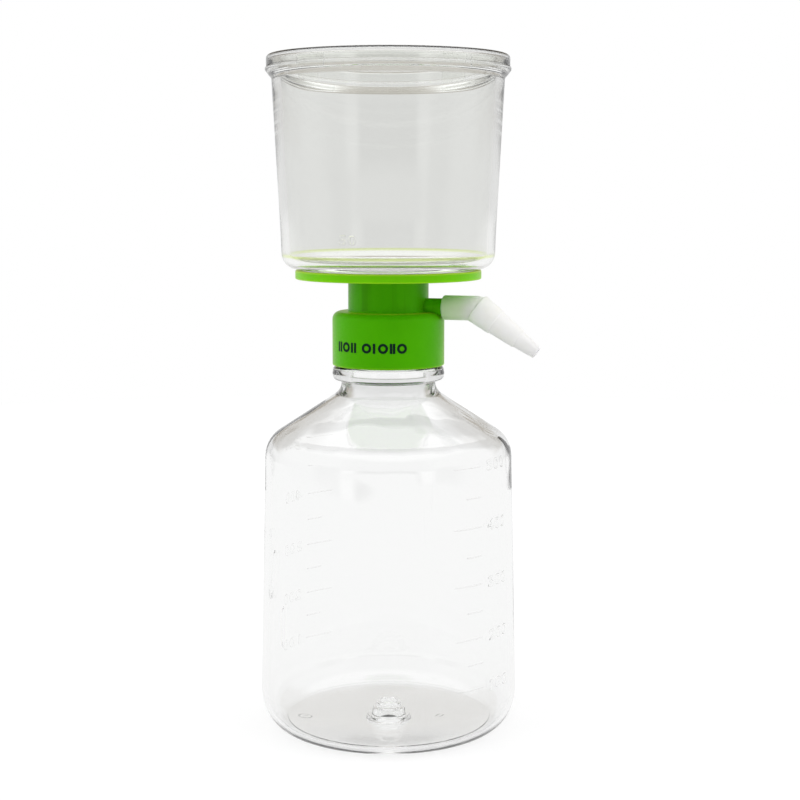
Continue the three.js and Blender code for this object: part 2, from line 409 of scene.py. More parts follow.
def ramp(tree, fac, stops):
    """A colour ramp from (position, colour) stops."""
    made = node(tree, "ShaderNodeValToRGB")
    elements = made.color_ramp.elements
    while len(elements) < len(stops):
        elements.new(1.0)
    for element, (position, colour) in zip(elements, stops):
        element.position = position
        element.color = (*colour, 1.0)
    tree.links.new(fac, made.inputs["Fac"])
    return made


def along(tree, axis, stops):
    """A colour ramp along an axis of the object frame, from (millimetres, colour) stops."""
    first, last = stops[0][0], stops[-1][0]
    coordinates = node(tree, "ShaderNodeTexCoord")
    parts = node(tree, "ShaderNodeSeparateXYZ")
    share = node(tree, "ShaderNodeMapRange", From_Min=first * MM, From_Max=last * MM)
    tree.links.new(coordinates.outputs["Object"], parts.inputs["Vector"])
    tree.links.new(parts.outputs[axis], share.inputs["Value"])
    return ramp(tree, share.outputs["Result"], [
        ((at - first) / (last - first), colour) for at, colour in stops])


def multiplied(tree, first, second):
    """The product of two colour sockets."""
    made = node(tree, "ShaderNodeMix", data_type="RGBA", blend_type="MULTIPLY")
    made.inputs[0].default_value = 1.0
    tree.links.new(first, made.inputs[6])
    tree.links.new(second, made.inputs[7])
    return made.outputs[2]


def grey(value):
    return (value, value, value)


def math_node(tree, operation, *values):
    """A Math node on sockets or numbers; gives its output socket."""
    made = node(tree, "ShaderNodeMath", operation=operation)
    for value, socket in zip(values, made.inputs):
        if isinstance(value, (int, float)):
            socket.default_value = value
        else:
            tree.links.new(value, socket)
    return made.outputs[0]


def blended(tree, fac, first, second):
    """Mixes two colours, each a grey number or a socket, by a factor socket."""
    made = node(tree, "ShaderNodeMix", data_type="RGBA")
    tree.links.new(fac, made.inputs[0])
    for socket, value in zip(made.inputs[6:8], (first, second)):
        if isinstance(value, (int, float)):
            socket.default_value = (*grey(value), 1)
        else:
            tree.links.new(value, socket)
    return made.outputs[2]


def greys(tree, fac, stops):
    """A ramp of greys; gives its output socket."""
    return ramp(tree, fac, [(position, grey(value)) for position, value in stops]).outputs["Color"]


def clear_plastic(name, tint, ior, waviness, painted_reflection=None, flow=None):
    """Clear moulded plastic: slow waves from the mould, and a trace of handling haze.
    painted_reflection gives colours by height: a painted reflection of a neighbour's colour in the clear
    wall. flow gives greys by height, where the blown wall is uneven."""
    made, tree, shader = material(name)
    shader.inputs["Base Color"].default_value = (*tint, 1)
    # painted reflection: a neighbour's colour painted into the base colour by height
    if painted_reflection:
        tree.links.new(along(tree, "Z", painted_reflection).outputs["Color"], shader.inputs["Base Color"])
    shader.inputs["Transmission Weight"].default_value = 1.0
    shader.inputs["IOR"].default_value = ior
    waves = noise(tree, 55, stretch=(1, 1, 0.35), detail=1.0)
    ripple = bump(tree, shader, waves.outputs["Fac"], waviness)
    if flow:
        swell = noise(tree, 36, stretch=(1, 1, 0.8), detail=1.5)
        level = math_node(tree, "SUBTRACT", swell.outputs["Fac"], 0.5)
        height = math_node(tree, "MULTIPLY", level, along(tree, "Z", flow).outputs["Color"])
        bump(tree, shader, height, FLOW_DEPTH, under=ripple)
    haze = noise(tree, 300, detail=3.0)
    gloss = ramp(tree, haze.outputs["Fac"], [(0.45, grey(0.0)), (0.8, grey(0.06))])
    tree.links.new(gloss.outputs["Color"], shader.inputs["Roughness"])
    return made


def green_plastic():
    """Lime green moulded plastic: satin gloss, light carried inside it, faint draw lines."""
    made, tree, shader = material("green_plastic")
    c = COLLAR
    # painted light: the thin plate is painted lighter, as if lit from above through it, and glow is a
    # painted highlight on its top edge
    body, plate, glow = (0.07, 0.425, 0.0013), (0.165, 0.60, 0.004), (0.40, 0.72, 0.04)
    painted_skirt_rim_glow, painted_plate_rim_glow = (0.20, 0.55, 0.01), (0.28, 0.64, 0.01)
    # painted light by height: painted light lines on the skirt's lower edge and the plate's lower edge,
    # a lit plate and a painted highlight on its top edge, over the plain body colour
    depth = along(tree, "Z", [
        (c["skirt_low"], painted_skirt_rim_glow), (c["skirt_low"] + 0.9, body),
        (c["plate_low"] - 0.1, body), (c["plate_low"] + 0.1, painted_plate_rim_glow), (c["plate_low"] + 0.7, plate),
        (c["plate_high"] - 0.7, plate), (c["plate_high"] - 0.3, glow), (c["plate_high"], glow)])
    cloud = noise(tree, 90, detail=3.0)
    mottle = ramp(tree, cloud.outputs["Fac"], [(0.3, grey(0.94)), (0.7, grey(1.0))])
    streak = noise(tree, 420, stretch=(1, 1, 0.03), detail=2.0)
    drawn = ramp(tree, streak.outputs["Fac"], [
        (0.35, grey(0.80)), (0.5, grey(0.98)), (0.8, grey(1.0))])
    neck = along(tree, "Z", [
        (c["skirt_top"], grey(0.0)), (c["skirt_top"] + 1, grey(1.0)),
        (c["plate_low"] - 1, grey(1.0)), (c["plate_low"], grey(0.0))])
    drawn = blended(tree, neck.outputs["Color"], 1.0, drawn.outputs["Color"])
    colour = multiplied(tree, depth.outputs["Color"], mottle.outputs["Color"])
    colour = multiplied(tree, colour, drawn)
    tree.links.new(colour, shader.inputs["Base Color"])
    shader.inputs["Subsurface Weight"].default_value = 0.35
    shader.inputs["Subsurface Radius"].default_value = (1.0, 0.9, 0.1)
    shader.inputs["Subsurface Scale"].default_value = 0.002
    shader.inputs["IOR"].default_value = 1.5
    shader.inputs["Specular IOR Level"].default_value = 0.16
    shader.inputs["Specular Tint"].default_value = (0.75, 1.0, 0.15, 1)
    shader.inputs["Sheen Weight"].default_value = 0.28
    shader.inputs["Sheen Roughness"].default_value = 0.4
    shader.inputs["Sheen Tint"].default_value = (1.0, 0.85, 0.03, 1)
    lines = noise(tree, 900, stretch=(1, 1, 0.03), detail=1.0)
    draw = bump(tree, shader, lines.outputs["Fac"], 0.00002)
    grain = noise(tree, 4000, detail=2.0)
    bump(tree, shader, grain.outputs["Fac"], 0.000006, under=draw)
    gloss = ramp(tree, grain.outputs["Fac"], [(0.3, grey(0.24)), (0.7, grey(0.34))])
    tree.links.new(gloss.outputs["Color"], shader.inputs["Roughness"])
    return made


def milky_plastic():
    """Soft undyed plastic of the hose adapter: milky, light passes a little way into it.
    The green arm inside is painted on: a painted show-through, a green tint over the arm that fades to
    white past its end."""
    made, tree, shader = material("milky_plastic")
    cloud = noise(tree, 250, detail=3.0)
    mottle = ramp(tree, cloud.outputs["Fac"], [
        (0.3, (0.92, 0.90, 0.87)), (0.7, (0.97, 0.95, 0.93))])
    end = COLLAR["arm_end"]
    # painted show-through: the sleeve is painted green along X where the green arm lies inside it
    through = along(tree, "X", [
        (end - 8, (0.62, 0.84, 0.50)), (end - 3, (0.72, 0.89, 0.62)), (end + 2, grey(1.0))])
    colour = multiplied(tree, mottle.outputs["Color"], through.outputs["Color"])
    tree.links.new(colour, shader.inputs["Base Color"])
    shader.inputs["Subsurface Weight"].default_value = 0.7
    shader.inputs["Subsurface Radius"].default_value = (1.0, 1.0, 0.95)
    shader.inputs["Subsurface Scale"].default_value = 0.0025
    shader.inputs["IOR"].default_value = 1.5
    grain = noise(tree, 1800, detail=3.0)
    bump(tree, shader, grain.outputs["Fac"], 0.00003)
    gloss = ramp(tree, grain.outputs["Fac"], [(0.3, grey(0.38)), (0.7, grey(0.5))])
    tree.links.new(gloss.outputs["Color"], shader.inputs["Roughness"])
    return made


def membrane_white():
    """White microporous filter sheet: matt, with a very fine grain."""
    made, tree, shader = material("membrane_white")
    fibres = noise(tree, 3500, detail=4.0, roughness=0.7)
    colour = ramp(tree, fibres.outputs["Fac"], [
        (0.3, (0.89, 0.89, 0.87)), (0.7, (0.95, 0.95, 0.93))])
    tree.links.new(colour.outputs["Color"], shader.inputs["Base Color"])
    shader.inputs["Roughness"].default_value = 0.95
    bump(tree, shader, fibres.outputs["Fac"], 0.00003)
    return made


def washer_white():
    """Soft foamed sealing ring."""
    made, tree, shader = material("washer_white")
    foam = node(tree, "ShaderNodeTexVoronoi", Scale=2200.0)
    coordinates = node(tree, "ShaderNodeTexCoord")
    tree.links.new(coordinates.outputs["Object"], foam.inputs["Vector"])
    colour = ramp(tree, foam.outputs["Distance"], [
        (0.1, (0.72, 0.72, 0.70)), (0.6, (0.82, 0.82, 0.80))])
    tree.links.new(colour.outputs["Color"], shader.inputs["Base Color"])
    shader.inputs["Roughness"].default_value = 0.85
    bump(tree, shader, foam.outputs["Distance"], 0.00005)
    return made


def print_ink():
    """Dark printed ink: satin, a little thin in places."""
    made, tree, shader = material("print_ink")
    cover = noise(tree, 2500, detail=3.0)
    colour = ramp(tree, cover.outputs["Fac"], [
        (0.3, (0.001, 0.010, 0.008)), (0.75, (0.002, 0.025, 0.010))])
    tree.links.new(colour.outputs["Color"], shader.inputs["Base Color"])
    shader.inputs["Specular IOR Level"].default_value = 0.1
    gloss = ramp(tree, cover.outputs["Fac"], [(0.3, grey(0.35)), (0.7, grey(0.5))])
    tree.links.new(gloss.outputs["Color"], shader.inputs["Roughness"])
    return made


# ---- receiver bottle --------------------------------------------------------------------
def shoulder_cone(radius, depth=0.0):
    """Height of the shoulder cone at a radius, for the outer skin or one set in by depth."""
    b = BOTTLE
    tilt = math.radians(b["shoulder_tilt"])
    foot_r = b["top_radius"] - b["shoulder_radius"] + (b["shoulder_radius"] - depth) * math.cos(tilt)
    foot_z = b["body_top"] + (b["shoulder_radius"] - depth) * math.sin(tilt)
    return foot_z + (foot_r - radius) / math.tan(tilt)


def neck_curve(radius, curve, depth, start, end):
    """The hollow curve between the shoulder cone and a straight neck."""
    tilt = math.radians(BOTTLE["shoulder_tilt"])
    centre_r = radius + curve
    centre_z = shoulder_cone(centre_r - curve * math.cos(tilt), depth) + curve * math.sin(tilt)
    return arc(centre_r, centre_z, curve, curve, start, end)


def bottle_outside():
    """The outer outline, from the pocket under the boss up to the lip."""
    b = BOTTLE
    cone = 180 + b["shoulder_tilt"]
    threads = [(b["finish_radius"], b["bead_high"] + 1 + i * b["row_step"])
               for i in range(b["thread_rows"])]
    return (
        rounded([(0, b["pocket_depth"], 0), (b["pocket_radius"] - 0.9, b["pocket_depth"], 0.5),
                 (b["pocket_radius"], 0, 0.4), (b["pocket_radius"] + 2, 0, 0)])
        + arc(b["foot_radius"], b["heel_height"], b["base_radius"] - b["foot_radius"],
              b["heel_height"], -90, 0, 16)
        + arc(b["top_radius"] - b["shoulder_radius"], b["body_top"],
              b["shoulder_radius"], b["shoulder_radius"], 0, b["shoulder_tilt"], 12)
        + neck_curve(b["neck_radius"], b["neck_fillet"], 0, cone, 180)
        + rounded([(b["neck_radius"], b["bead_low"] - 0.2, 0),
                   (b["neck_radius"] + 0.2, b["bead_low"] + 0.1, 0.3),
                   (b["bead_radius"] - 0.45, b["bead_middle"] - 1.9, 1.1),
                   (b["bead_radius"], b["bead_middle"], 1.6),
                   (b["bead_radius"] - 0.45, b["bead_high"] - 0.1, 0.9),
                   (b["finish_radius"], b["bead_high"] + 0.2, 0.5),
                   (b["finish_radius"], b["bead_high"] + 0.9, 0)])
        + threads
        + rounded([(b["finish_radius"], b["lip"] - 1.5, 0), (b["finish_radius"], b["lip"], 0.7),
                   (b["bore_radius"] + 0.5, b["lip"], 0)])
    )


def bottle_inside():
    """The inner outline, from the lip down to the top of the boss."""
    b = BOTTLE
    cone = 180 + b["shoulder_tilt"]
    inner_base = b["base_radius"] - b["wall"]
    boss, low = [], b["floor_middle"]
    for radius, high in b["boss"]:
        boss += [(radius, low, 0.35), (radius - b["boss_draft"], high, 0.35)]
        low = high
    return (
        rounded([(b["bore_radius"] + 0.5, b["lip"], 0), (b["bore_radius"], b["lip"], 0.5),
                 (b["bore_radius"], b["lip"] - 4, 0)])[1:]
        + neck_curve(b["bore_radius"], b["neck_fillet"] + b["wall"], b["wall"], 180, cone)
        + arc(b["top_radius"] - b["shoulder_radius"], b["body_top"],
              b["shoulder_radius"] - b["wall"], b["shoulder_radius"] - b["wall"],
              b["shoulder_tilt"], 0, 12)
        + arc(b["floor_radius"], b["heel_height"], inner_base - b["floor_radius"],
              b["heel_height"] - b["floor"], 0, -90, 16)[:-1]
        + rounded([(b["floor_radius"], b["floor"], 0),
                   (b["floor_radius"] - 0.05, b["floor"] + b["floor_lift"], 0.08)]
                  + boss
                  + [(b["boss_hollow"], low, 0.3), (b["boss_hollow"] - 0.3, low - b["boss_dimple"], 0.3),
                     (0, low - b["boss_dimple"], 0)])
    )


def bottle_shell():
    b = BOTTLE

    def thread(radius, height, angle):
        if radius == b["finish_radius"]:
            radius += b["thread_height"] * helix_height(
                height, angle, b["thread_low"], b["thread_turns"], b["thread_width"])
        return radius, height

    return smooth(lathe("bottle_shell", bottle_outside() + bottle_inside(), shape=thread))


def bottle_skin(height):
    """Outer radius of the bottle's body, up to the middle of its rounded shoulder."""
    b = BOTTLE
    if height > b["body_top"]:
        rise = height - b["body_top"]
        return b["top_radius"] - b["shoulder_radius"] + math.sqrt(b["shoulder_radius"] ** 2 - rise ** 2)
    share = (height - b["heel_height"]) / (b["body_top"] - b["heel_height"])
    return b["base_radius"] + (b["top_radius"] - b["base_radius"]) * share


def scale_marks():
    """The moulded scale: a figure and a long line at each 100 mL, a short line between."""
    s = SCALE
    pieces = []
    for column in s["columns"]:
        for i in range(s["marks"]):
            height = s["first"] + s["step"] * i + s["growth"] * i * i
            whole = i % 2 == 0
            length = s["long_tick"] if whole else s["short_tick"]
            middle = s["tick_angle"] - math.degrees(length / 2 / bottle_skin(height))
            line = ridge("line", length, s["stroke"], s["relief"])
            pieces.append(wrapped(line, column + middle, height, bottle_skin))
            if whole:
                volume = str(s["first_volume"] + s["volume_step"] * i)
                text = figures("figure", volume, s["figure_width"], s["figure_height"], s["relief"])
                pieces.append(wrapped(text, column + s["figure_angle"], height, bottle_skin))
    return smooth(joined("bottle_scale", pieces), MARK_SHARP_ANGLE)


def flow_marks():
    """Flow lines that the mould left low on the bottle's left side: upright ridges."""
    pieces = []
    for mark in FLOW_MARKS["lines"]:
        line = ridge("line", mark["length"], FLOW_MARKS["width"], FLOW_MARKS["relief"])
        moved(line, turn(90 + mark["lean"], "Z"))
        pieces.append(wrapped(line, mark["angle"], mark["middle"], bottle_skin))
    return smooth(joined("flow_marks", pieces), MARK_SHARP_ANGLE)


def floor_marks():
    """Small mould marks on the bottle's floor: a ring with a line through it, and a bar pair."""
    b, m = BOTTLE, FLOOR_MARKS

    def lying(piece, radius, angle, spin):
        """Lays a flat piece on the sloping floor."""
        slope = (b["floor"] - b["floor_middle"]) / (b["floor_radius"] - b["boss"][0][0])
        height = b["floor_middle"] + slope * (radius - b["boss"][0][0]) + LIFT
        tilt = Matrix.Rotation(-math.atan(slope), 4, "Y")
        return moved(piece, turn(angle, "Z"), shift(radius, 0, height), tilt, turn(spin, "Z"))

    half_round = [(m["ring_radius"] + m["ring_stroke"] * math.cos(a),
                   m["relief"] * max(0.0, math.sin(a)))
                  for a in [math.radians(45 * k) for k in range(5)]]
    ring = lathe("ring", half_round, steps=32)
    line = ridge("line", m["ring_line"], m["stroke"], m["relief"])
    pieces = [lying(ring, *m["ring_place"], 0), lying(line, *m["ring_place"], m["line_spin"])]
    for across in (-m["bar_offset"], m["bar_offset"]):
        bar = moved(ridge("line", m["bar_length"], m["stroke"], m["relief"]), shift(0, across, 0))
        pieces.append(lying(bar, *m["bars_place"], m["bar_spin"]))
    return smooth(joined("floor_marks", pieces), MARK_SHARP_ANGLE)


# ---- funnel and lid ---------------------------------------------------------------------
def funnel_cup():
    f = FUNNEL
    foot = COLLAR["plate_high"] + GAP
    corner_r = f["foot_radius"] - f["foot_corner"]
    corner_z = foot + f["foot_corner"]
    section = (
        [(f["foot_inner"], foot)]
        + arc(corner_r, corner_z, f["foot_corner"], f["foot_corner"], -90, 0, 12)
        + rounded([(f["foot_radius"] + 0.3, corner_z + 8, 0),
                   (f["shoulder_radius"], f["shoulder_height"], 0.8),
                   (f["ledge_radius"], f["ledge_height"], 0.5),
                   (f["ledge_radius"], f["ledge_height"] + f["ledge_edge"], 0.3),
                   (f["rim_radius"], f["ledge_height"] + f["ledge_edge"], 0.2),
                   (f["rim_radius"], f["rim_top"], 0.35), (f["rim_bore"], f["rim_top"], 0.35),
                   (f["rim_bore"], f["ledge_height"], 0.3), (f["bore"], f["ledge_height"], 0.4),
                   (f["bore"] - 0.5, f["ledge_height"] - 8, 0)])
        + arc(corner_r, corner_z, f["foot_corner"] - f["wall"], f["foot_corner"] - f["wall"], 0, -90, 8)
        + [(f["foot_inner"], foot + f["wall"])]
    )
    return smooth(lathe("funnel_cup", section))


def funnel_skin(height):
    """Outer radius of the funnel's wall."""
    f = FUNNEL
    low = COLLAR["plate_high"] + GAP + f["foot_corner"]
    share = (height - low) / (f["shoulder_height"] - low)
    return f["foot_radius"] + (f["shoulder_radius"] - f["foot_radius"]) * share


def funnel_figure():
    """The one moulded figure on the funnel, low on its front."""
    f = FUNNEL_FIGURE
    text = figures("funnel_figure", f["text"], f["width"], f["height"], f["relief"])
    return smooth(wrapped(text, f["angle"], f["middle"], funnel_skin), MARK_SHARP_ANGLE)


def rim_pads():
    """Four low pads inside the funnel's rim, which centre the lid."""
    p = RIM_PADS
    inner = FUNNEL["rim_bore"] - LIFT * 2 - p["thickness"]
    half = (p["high"] - p["low"]) / 2
    section = rounded([(0, 0, 0), (half, 0, 0.2), (half, p["thickness"], 0.05),
                       (-half, p["thickness"], 0.05), (-half, 0, 0.2), (0, 0, 0)])[:-1]
    pieces = []
    for angle in p["angles"]:
        pad = strip("pad", math.radians(p["span"]) * inner, section)
        pieces.append(wrapped(pad, angle, p["low"] + half, lambda height: inner))
    return smooth(joined("rim_pads", pieces))


def lid_cover():
    radius, bore, top, corner = (LID[key] for key in ("radius", "bore", "top", "corner"))
    skirt_low = FUNNEL["ledge_height"] + FUNNEL["ledge_edge"] + GAP
    under = top - LID["plate"]
    section = (
        rounded([(0, under, 0), (bore, under, 0.4), (bore, skirt_low, 0.15),
                 (radius, skirt_low, 0.15), (radius, top - corner - 0.3, 0)])
        + arc(radius - corner, top - corner, corner, corner, 0, 90)
        + [(0, top)]
    )
    return smooth(lathe("lid_cover", section))


# ---- filter collar ----------------------------------------------------------------------
def collar_body():
    c = COLLAR
    deck_low = c["skirt_top"] - c["deck"]
    seat = c["plate_high"] - c["seat_depth"]
    floor = seat - c["rib_depth"]
    threads = [(c["skirt_bore"], deck_low - 0.8 - i * c["row_step"])
               for i in range(c["thread_rows"])]
    section = (
        rounded([(c["skirt_bore"], c["skirt_low"] + 0.4, 0), (c["skirt_bore"], c["skirt_low"], 0.2),
                 (c["skirt_radius"], c["skirt_low"], c["skirt_edge"]),
                 (c["skirt_radius"], c["skirt_top"], c["corner_radius"]),
                 (c["neck_radius"], c["skirt_top"], c["neck_fillet"]),
                 (c["neck_radius"], c["plate_low"], 0.4),
                 (c["plate_radius"], c["plate_low"], c["plate_edge"]),
                 (c["plate_radius"], c["plate_high"], c["plate_edge"]),
                 (c["seat_radius"], c["plate_high"], 0.15), (c["seat_radius"], floor, 0.15),
                 (c["stem_bore"], floor, 0.4), (c["stem_bore"], c["stem_low"], 0.2),
                 (c["stem_radius"] - 0.1, c["stem_low"], c["stem_edge"]),
                 (c["stem_radius"], c["plate_low"], 0.5), (c["neck_bore"], c["plate_low"], 0.5),
                 (c["neck_bore"], deck_low, 0.3), (c["skirt_bore"], deck_low, 0.4),
                 (c["skirt_bore"], deck_low - 0.7, 0)])[1:]
        + threads
    )

    def thread(radius, height, angle):
        if radius == c["skirt_bore"] and height < deck_low - 0.75:
            radius -= c["thread_height"] * helix_height(
                height, angle, c["thread_low"], c["thread_turns"], c["thread_width"])
        return radius, height

    body = lathe("collar_body", section, shape=thread)
    arm_root = (c["neck_bore"] + c["neck_radius"]) / 2

    def along_arm(name, radius, start, end, edge=0.0):
        section = rounded([(0, start, 0), (radius, start, 0), (radius, end, edge), (0, end, 0)])
        rod = lathe(name, section, steps=TUBE_STEPS)
        return moved(rod, shift(0, 0, c["arm_height"]), turn(90, "Y"))

    arm = along_arm("arm", c["arm_radius"], arm_root, c["arm_end"], EDGE)
    bore = along_arm("arm_bore", c["arm_bore"], c["neck_bore"] - 1, c["arm_end"] + 1)
    combine(body, arm, "UNION")
    combine(body, bore, "DIFFERENCE")
    ribs = []
    for i in range(c["ribs"]):
        rib = box(f"rib_{i}", (c["rib_inner"], -c["rib_width"] / 2, floor - c["rib_depth"]),
                  (c["rib_outer"], c["rib_width"] / 2, seat))
        ribs.append(moved(rib, turn(360 * (i + 0.5) / c["ribs"], "Z")))
    combine(body, joined("ribs", ribs), "UNION")
    return smooth(body)


def collar_print():
    """A printed row on the collar's skirt: plain rings and bars, three and then six."""
    p = PRINT
    tall, wide, thick = p["height"], p["stroke"], p["thickness"]

    def stroke(inner):
        """Closed section of a stroke whose near edge lies at inner."""
        return [(inner, 0), (inner + wide, 0), (inner + wide, thick), (inner, thick)]

    rings = [lathe("ring", stroke(tall / 2 - wide), steps=SMALL_STEPS) for _ in p["rings"]]
    bars = [moved(strip("bar", tall, stroke(-wide / 2), 4), turn(90, "Z")) for _ in p["bars"]]
    pieces = []
    for piece, azimuth in zip(rings + bars, p["rings"] + p["bars"]):
        pieces.append(wrapped(piece, p["angle"] + azimuth, p["middle"],
                              lambda height: COLLAR["skirt_radius"]))
    return smooth(joined("collar_print", pieces))


def filter_membrane():
    low = COLLAR["plate_high"] - COLLAR["seat_depth"] + GAP
    high = low + MEMBRANE["thickness"]
    edge = MEMBRANE["radius"]
    pressed = high - MEMBRANE["pressed"]
    ring = FUNNEL["foot_inner"]
    section = rounded([(0, low, 0), (edge, low, 0.1), (edge, pressed, 0.1),
                       (ring, pressed, 0.2), (ring - 0.6, high, 0.4), (0, high, 0)])
    return smooth(lathe("membrane_disc", section))


def seal_washer():
    w = WASHER
    low = BOTTLE["lip"] + GAP
    high = low + w["thickness"]
    middle = (w["inner"] + w["outer"]) / 2
    section = rounded([(middle, low, 0), (w["outer"], low, w["edge"]), (w["outer"], high, w["edge"]),
                       (w["inner"], high, w["edge"]), (w["inner"], low, w["edge"]),
                       (middle, low, 0)])[:-1]
    return smooth(lathe("washer_ring", section, steps=TURN_STEPS // 2))


# ---- hose adapter -----------------------------------------------------------------------
def hose_adapter():
    a = ADAPTER
    sleeve = lathe("adapter_elbow", rounded([
        (0, a["start"], 0), (a["radius"], a["start"], a["end_round"]), (a["radius"], a["elbow"] - 1, 0)])
        + arc(0, a["elbow"], a["radius"], a["radius"], 0, 90), steps=TUBE_STEPS)
    moved(sleeve, turn(90, "Y"))
    corners, reach = [(0, 0, 0)], 0.0
    for length, wide, narrow in a["steps"]:
        corners.append((wide, reach, 0.35))
        reach += length
        corners.append((narrow, reach, 0.25))
    corners.append((0, reach, 0))
    nozzle = lathe("nozzle", rounded(corners), steps=TUBE_STEPS)

    def drooped(piece):
        return moved(piece, shift(a["elbow"], 0, 0), turn(90 + a["droop"], "Y"))

    def rod(name, radius, start, end):
        return lathe(name, [(0, start), (radius, start), (radius, end), (0, end)], steps=BORE_STEPS)

    socket = rod("socket", a["bore"], a["start"] - 1, a["bore_end"])
    passage = rod("passage", a["nozzle_bore"], a["bore_end"] - 1, a["elbow"] + a["passage_end"])
    outlet = rod("outlet", a["nozzle_bore"], 0, reach + 1)
    combine(sleeve, drooped(nozzle), "UNION")
    combine(sleeve, moved(socket, turn(90, "Y")), "DIFFERENCE")
    combine(sleeve, moved(passage, turn(90, "Y")), "DIFFERENCE")
    combine(sleeve, drooped(outlet), "DIFFERENCE")
    moved(sleeve, shift(0, 0, COLLAR["arm_height"]))
    return smooth(sleeve)


# ---- light, floor and camera ------------------------------------------------------------
def seen_by_glass(tree, rays):
    """1 for the rays by which glass and gloss see their surroundings, else 0."""
    return math_node(
        tree, "MAXIMUM", rays.outputs["Is Glossy Ray"], rays.outputs["Is Transmission Ray"])


def room_direction(tree):
    """Where in the room a ray goes: its share of the way round from the camera's side, from
    0 at the camera to 1 straight behind the object, and its lift, from 0 down to 1 up."""
    coordinates = node(tree, "ShaderNodeTexCoord")
    spin = node(tree, "ShaderNodeVectorRotate", rotation_type="Z_AXIS",
                Angle=math.radians(-CAMERA_AZIMUTH))
    parts = node(tree, "ShaderNodeSeparateXYZ")
    tree.links.new(coordinates.outputs["Generated"], spin.inputs["Vector"])
    tree.links.new(spin.outputs["Vector"], parts.inputs["Vector"])
    front = math_node(tree, "MULTIPLY", parts.outputs["Y"], -1.0)
    around = math_node(tree, "ARCTAN2", parts.outputs["X"], front)
    share = math_node(tree, "DIVIDE", math_node(tree, "ABSOLUTE", around), math.pi)
    lift = math_node(tree, "MULTIPLY_ADD", parts.outputs["Z"], 0.5, 0.5)
    return share, lift


def studio():
    """A light tent. The camera sees plain white. Glass and gloss see the tent: the dark
    room behind the camera, bright sides, a paler backdrop, the table and a bright ceiling."""
    world = bpy.data.worlds.new("studio")
    bpy.context.scene.world = world
    world.use_nodes = True
    tree = world.node_tree
    tree.nodes.clear()
    share, lift = room_direction(tree)
    rays = node(tree, "ShaderNodeLightPath")

    low = greys(tree, lift, [(0.445, 1.0), (0.465, 0.0)])       # past the floor's far edge
    raised = greys(tree, lift, [(0.58, 0.0), (0.62, 1.0)])      # more than some 10 degrees up
    high = greys(tree, lift, [(0.80, 0.0), (0.88, 1.0)])        # the ceiling
    # the tent at eye level, from the dark room behind the camera round to the backdrop, and
    # the same higher up
    tent = greys(tree, share, [
        (0.0, 0.03), (0.155, 0.03), (0.185, 1.3), (0.23, 1.3), (0.265, 0.6), (0.36, 0.55),
        (0.44, 0.9), (0.60, 0.85), (0.70, 0.75), (1.0, 0.78)])
    upper = ramp(tree, share, [
        (0.0, grey(0.72)), (0.2, grey(0.75)), (0.3, grey(0.95)), (0.62, grey(0.95)),
        (0.72, (0.36, 0.33, 0.28)), (1.0, (0.45, 0.42, 0.37))]).outputs["Color"]
    # straight through clear plastic the tent is pale on every side: only what is reflected
    # shows the dark room
    through = greys(tree, share, [
        (0.0, 0.76), (0.30, 0.72), (0.36, 0.62), (0.44, 0.9), (0.60, 0.85), (0.70, 0.75),
        (1.0, 0.76)])
    reflected = math_node(tree, "GREATER_THAN", rays.outputs["Glossy Depth"], 0.5)
    tent = blended(tree, reflected, through, tent)
    # the dark room ends just above eye level, or a lid seen from behind would mirror it
    over = math_node(
        tree, "MULTIPLY", greys(tree, lift, [(0.505, 0.0), (0.525, 1.0)]),
        greys(tree, share, [(0.2, 1.0), (0.3, 0.0)]))
    tent = blended(tree, over, tent, 0.7)
    tent = blended(tree, low, tent, TABLE_IN_GLASS)
    tent = blended(tree, raised, tent, upper)
    tent = blended(tree, high, tent, CEILING_IN_GLASS)
    # what lies inside clear plastic misses the lamps, so the tent lights it more
    scattered = math_node(tree, "GREATER_THAN", rays.outputs["Diffuse Depth"], 0.5)
    tent = blended(tree, scattered, tent, LIGHT_INSIDE)
    # what lights the object itself
    lit = greys(tree, share, [(0.0, 0.55), (0.2, 0.65), (0.35, 1.0), (0.65, 1.0), (1.0, 0.8)])
    lit = blended(tree, high, lit, 0.9)
    view = blended(tree, seen_by_glass(tree, rays), lit, tent)
    view = blended(tree, rays.outputs["Is Camera Ray"], view, 1.0)
    background = node(tree, "ShaderNodeBackground")
    output = node(tree, "ShaderNodeOutputWorld")
    tree.links.new(view, background.inputs["Color"])
    tree.links.new(background.outputs[0], output.inputs[0])


def soft_sun(name, azimuth):
    """A broad soft light from far off, which leaves no hard spot in glass or gloss."""
    lamp = bpy.data.lights.new(name, "SUN")
    lamp.angle = math.radians(SUN_SPREAD)
    lamp.energy = SUN_STRENGTH
    holder = bpy.data.objects.new(name, lamp)
    a, e = math.radians(azimuth), math.radians(SUN_HEIGHT)
    away = Vector((math.sin(a) * math.cos(e), -math.cos(a) * math.cos(e), math.sin(e)))
    holder.location = away
    holder.rotation_euler = away.to_track_quat("Z", "Y").to_euler()
    holder.visible_camera = False
    holder.visible_glossy = False
    holder.visible_transmission = False
    bpy.context.scene.collection.objects.link(holder)


